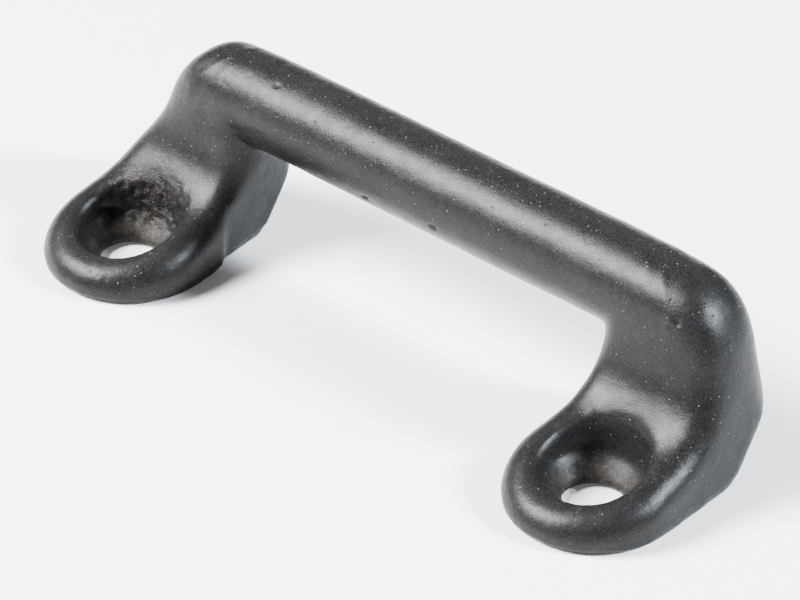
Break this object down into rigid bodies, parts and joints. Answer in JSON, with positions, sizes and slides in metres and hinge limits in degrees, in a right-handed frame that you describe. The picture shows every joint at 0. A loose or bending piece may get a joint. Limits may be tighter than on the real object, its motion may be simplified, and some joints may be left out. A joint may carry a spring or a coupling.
{
  "type": "sash lift handle",
  "caption": "Cast iron sash lift: a round grip bar on curved legs with countersunk feet, one casting with a satin black coat.",
  "frame": {"origin": "midway between the two screw holes, on the plane of the mounting face", "axes": "+X along the grip bar; +Y from the screw holes towards the bar; +Z out of the sash, away from the mounting face"},
  "size_m": [0.0978, 0.0321, 0.0258],
  "materials": {
    "coated_iron": "satin black coat over a fine sand-cast surface"
  },
  "bodies": {
    "root": {"handle_casting": "coated_iron"}
  },
  "joints": []
}
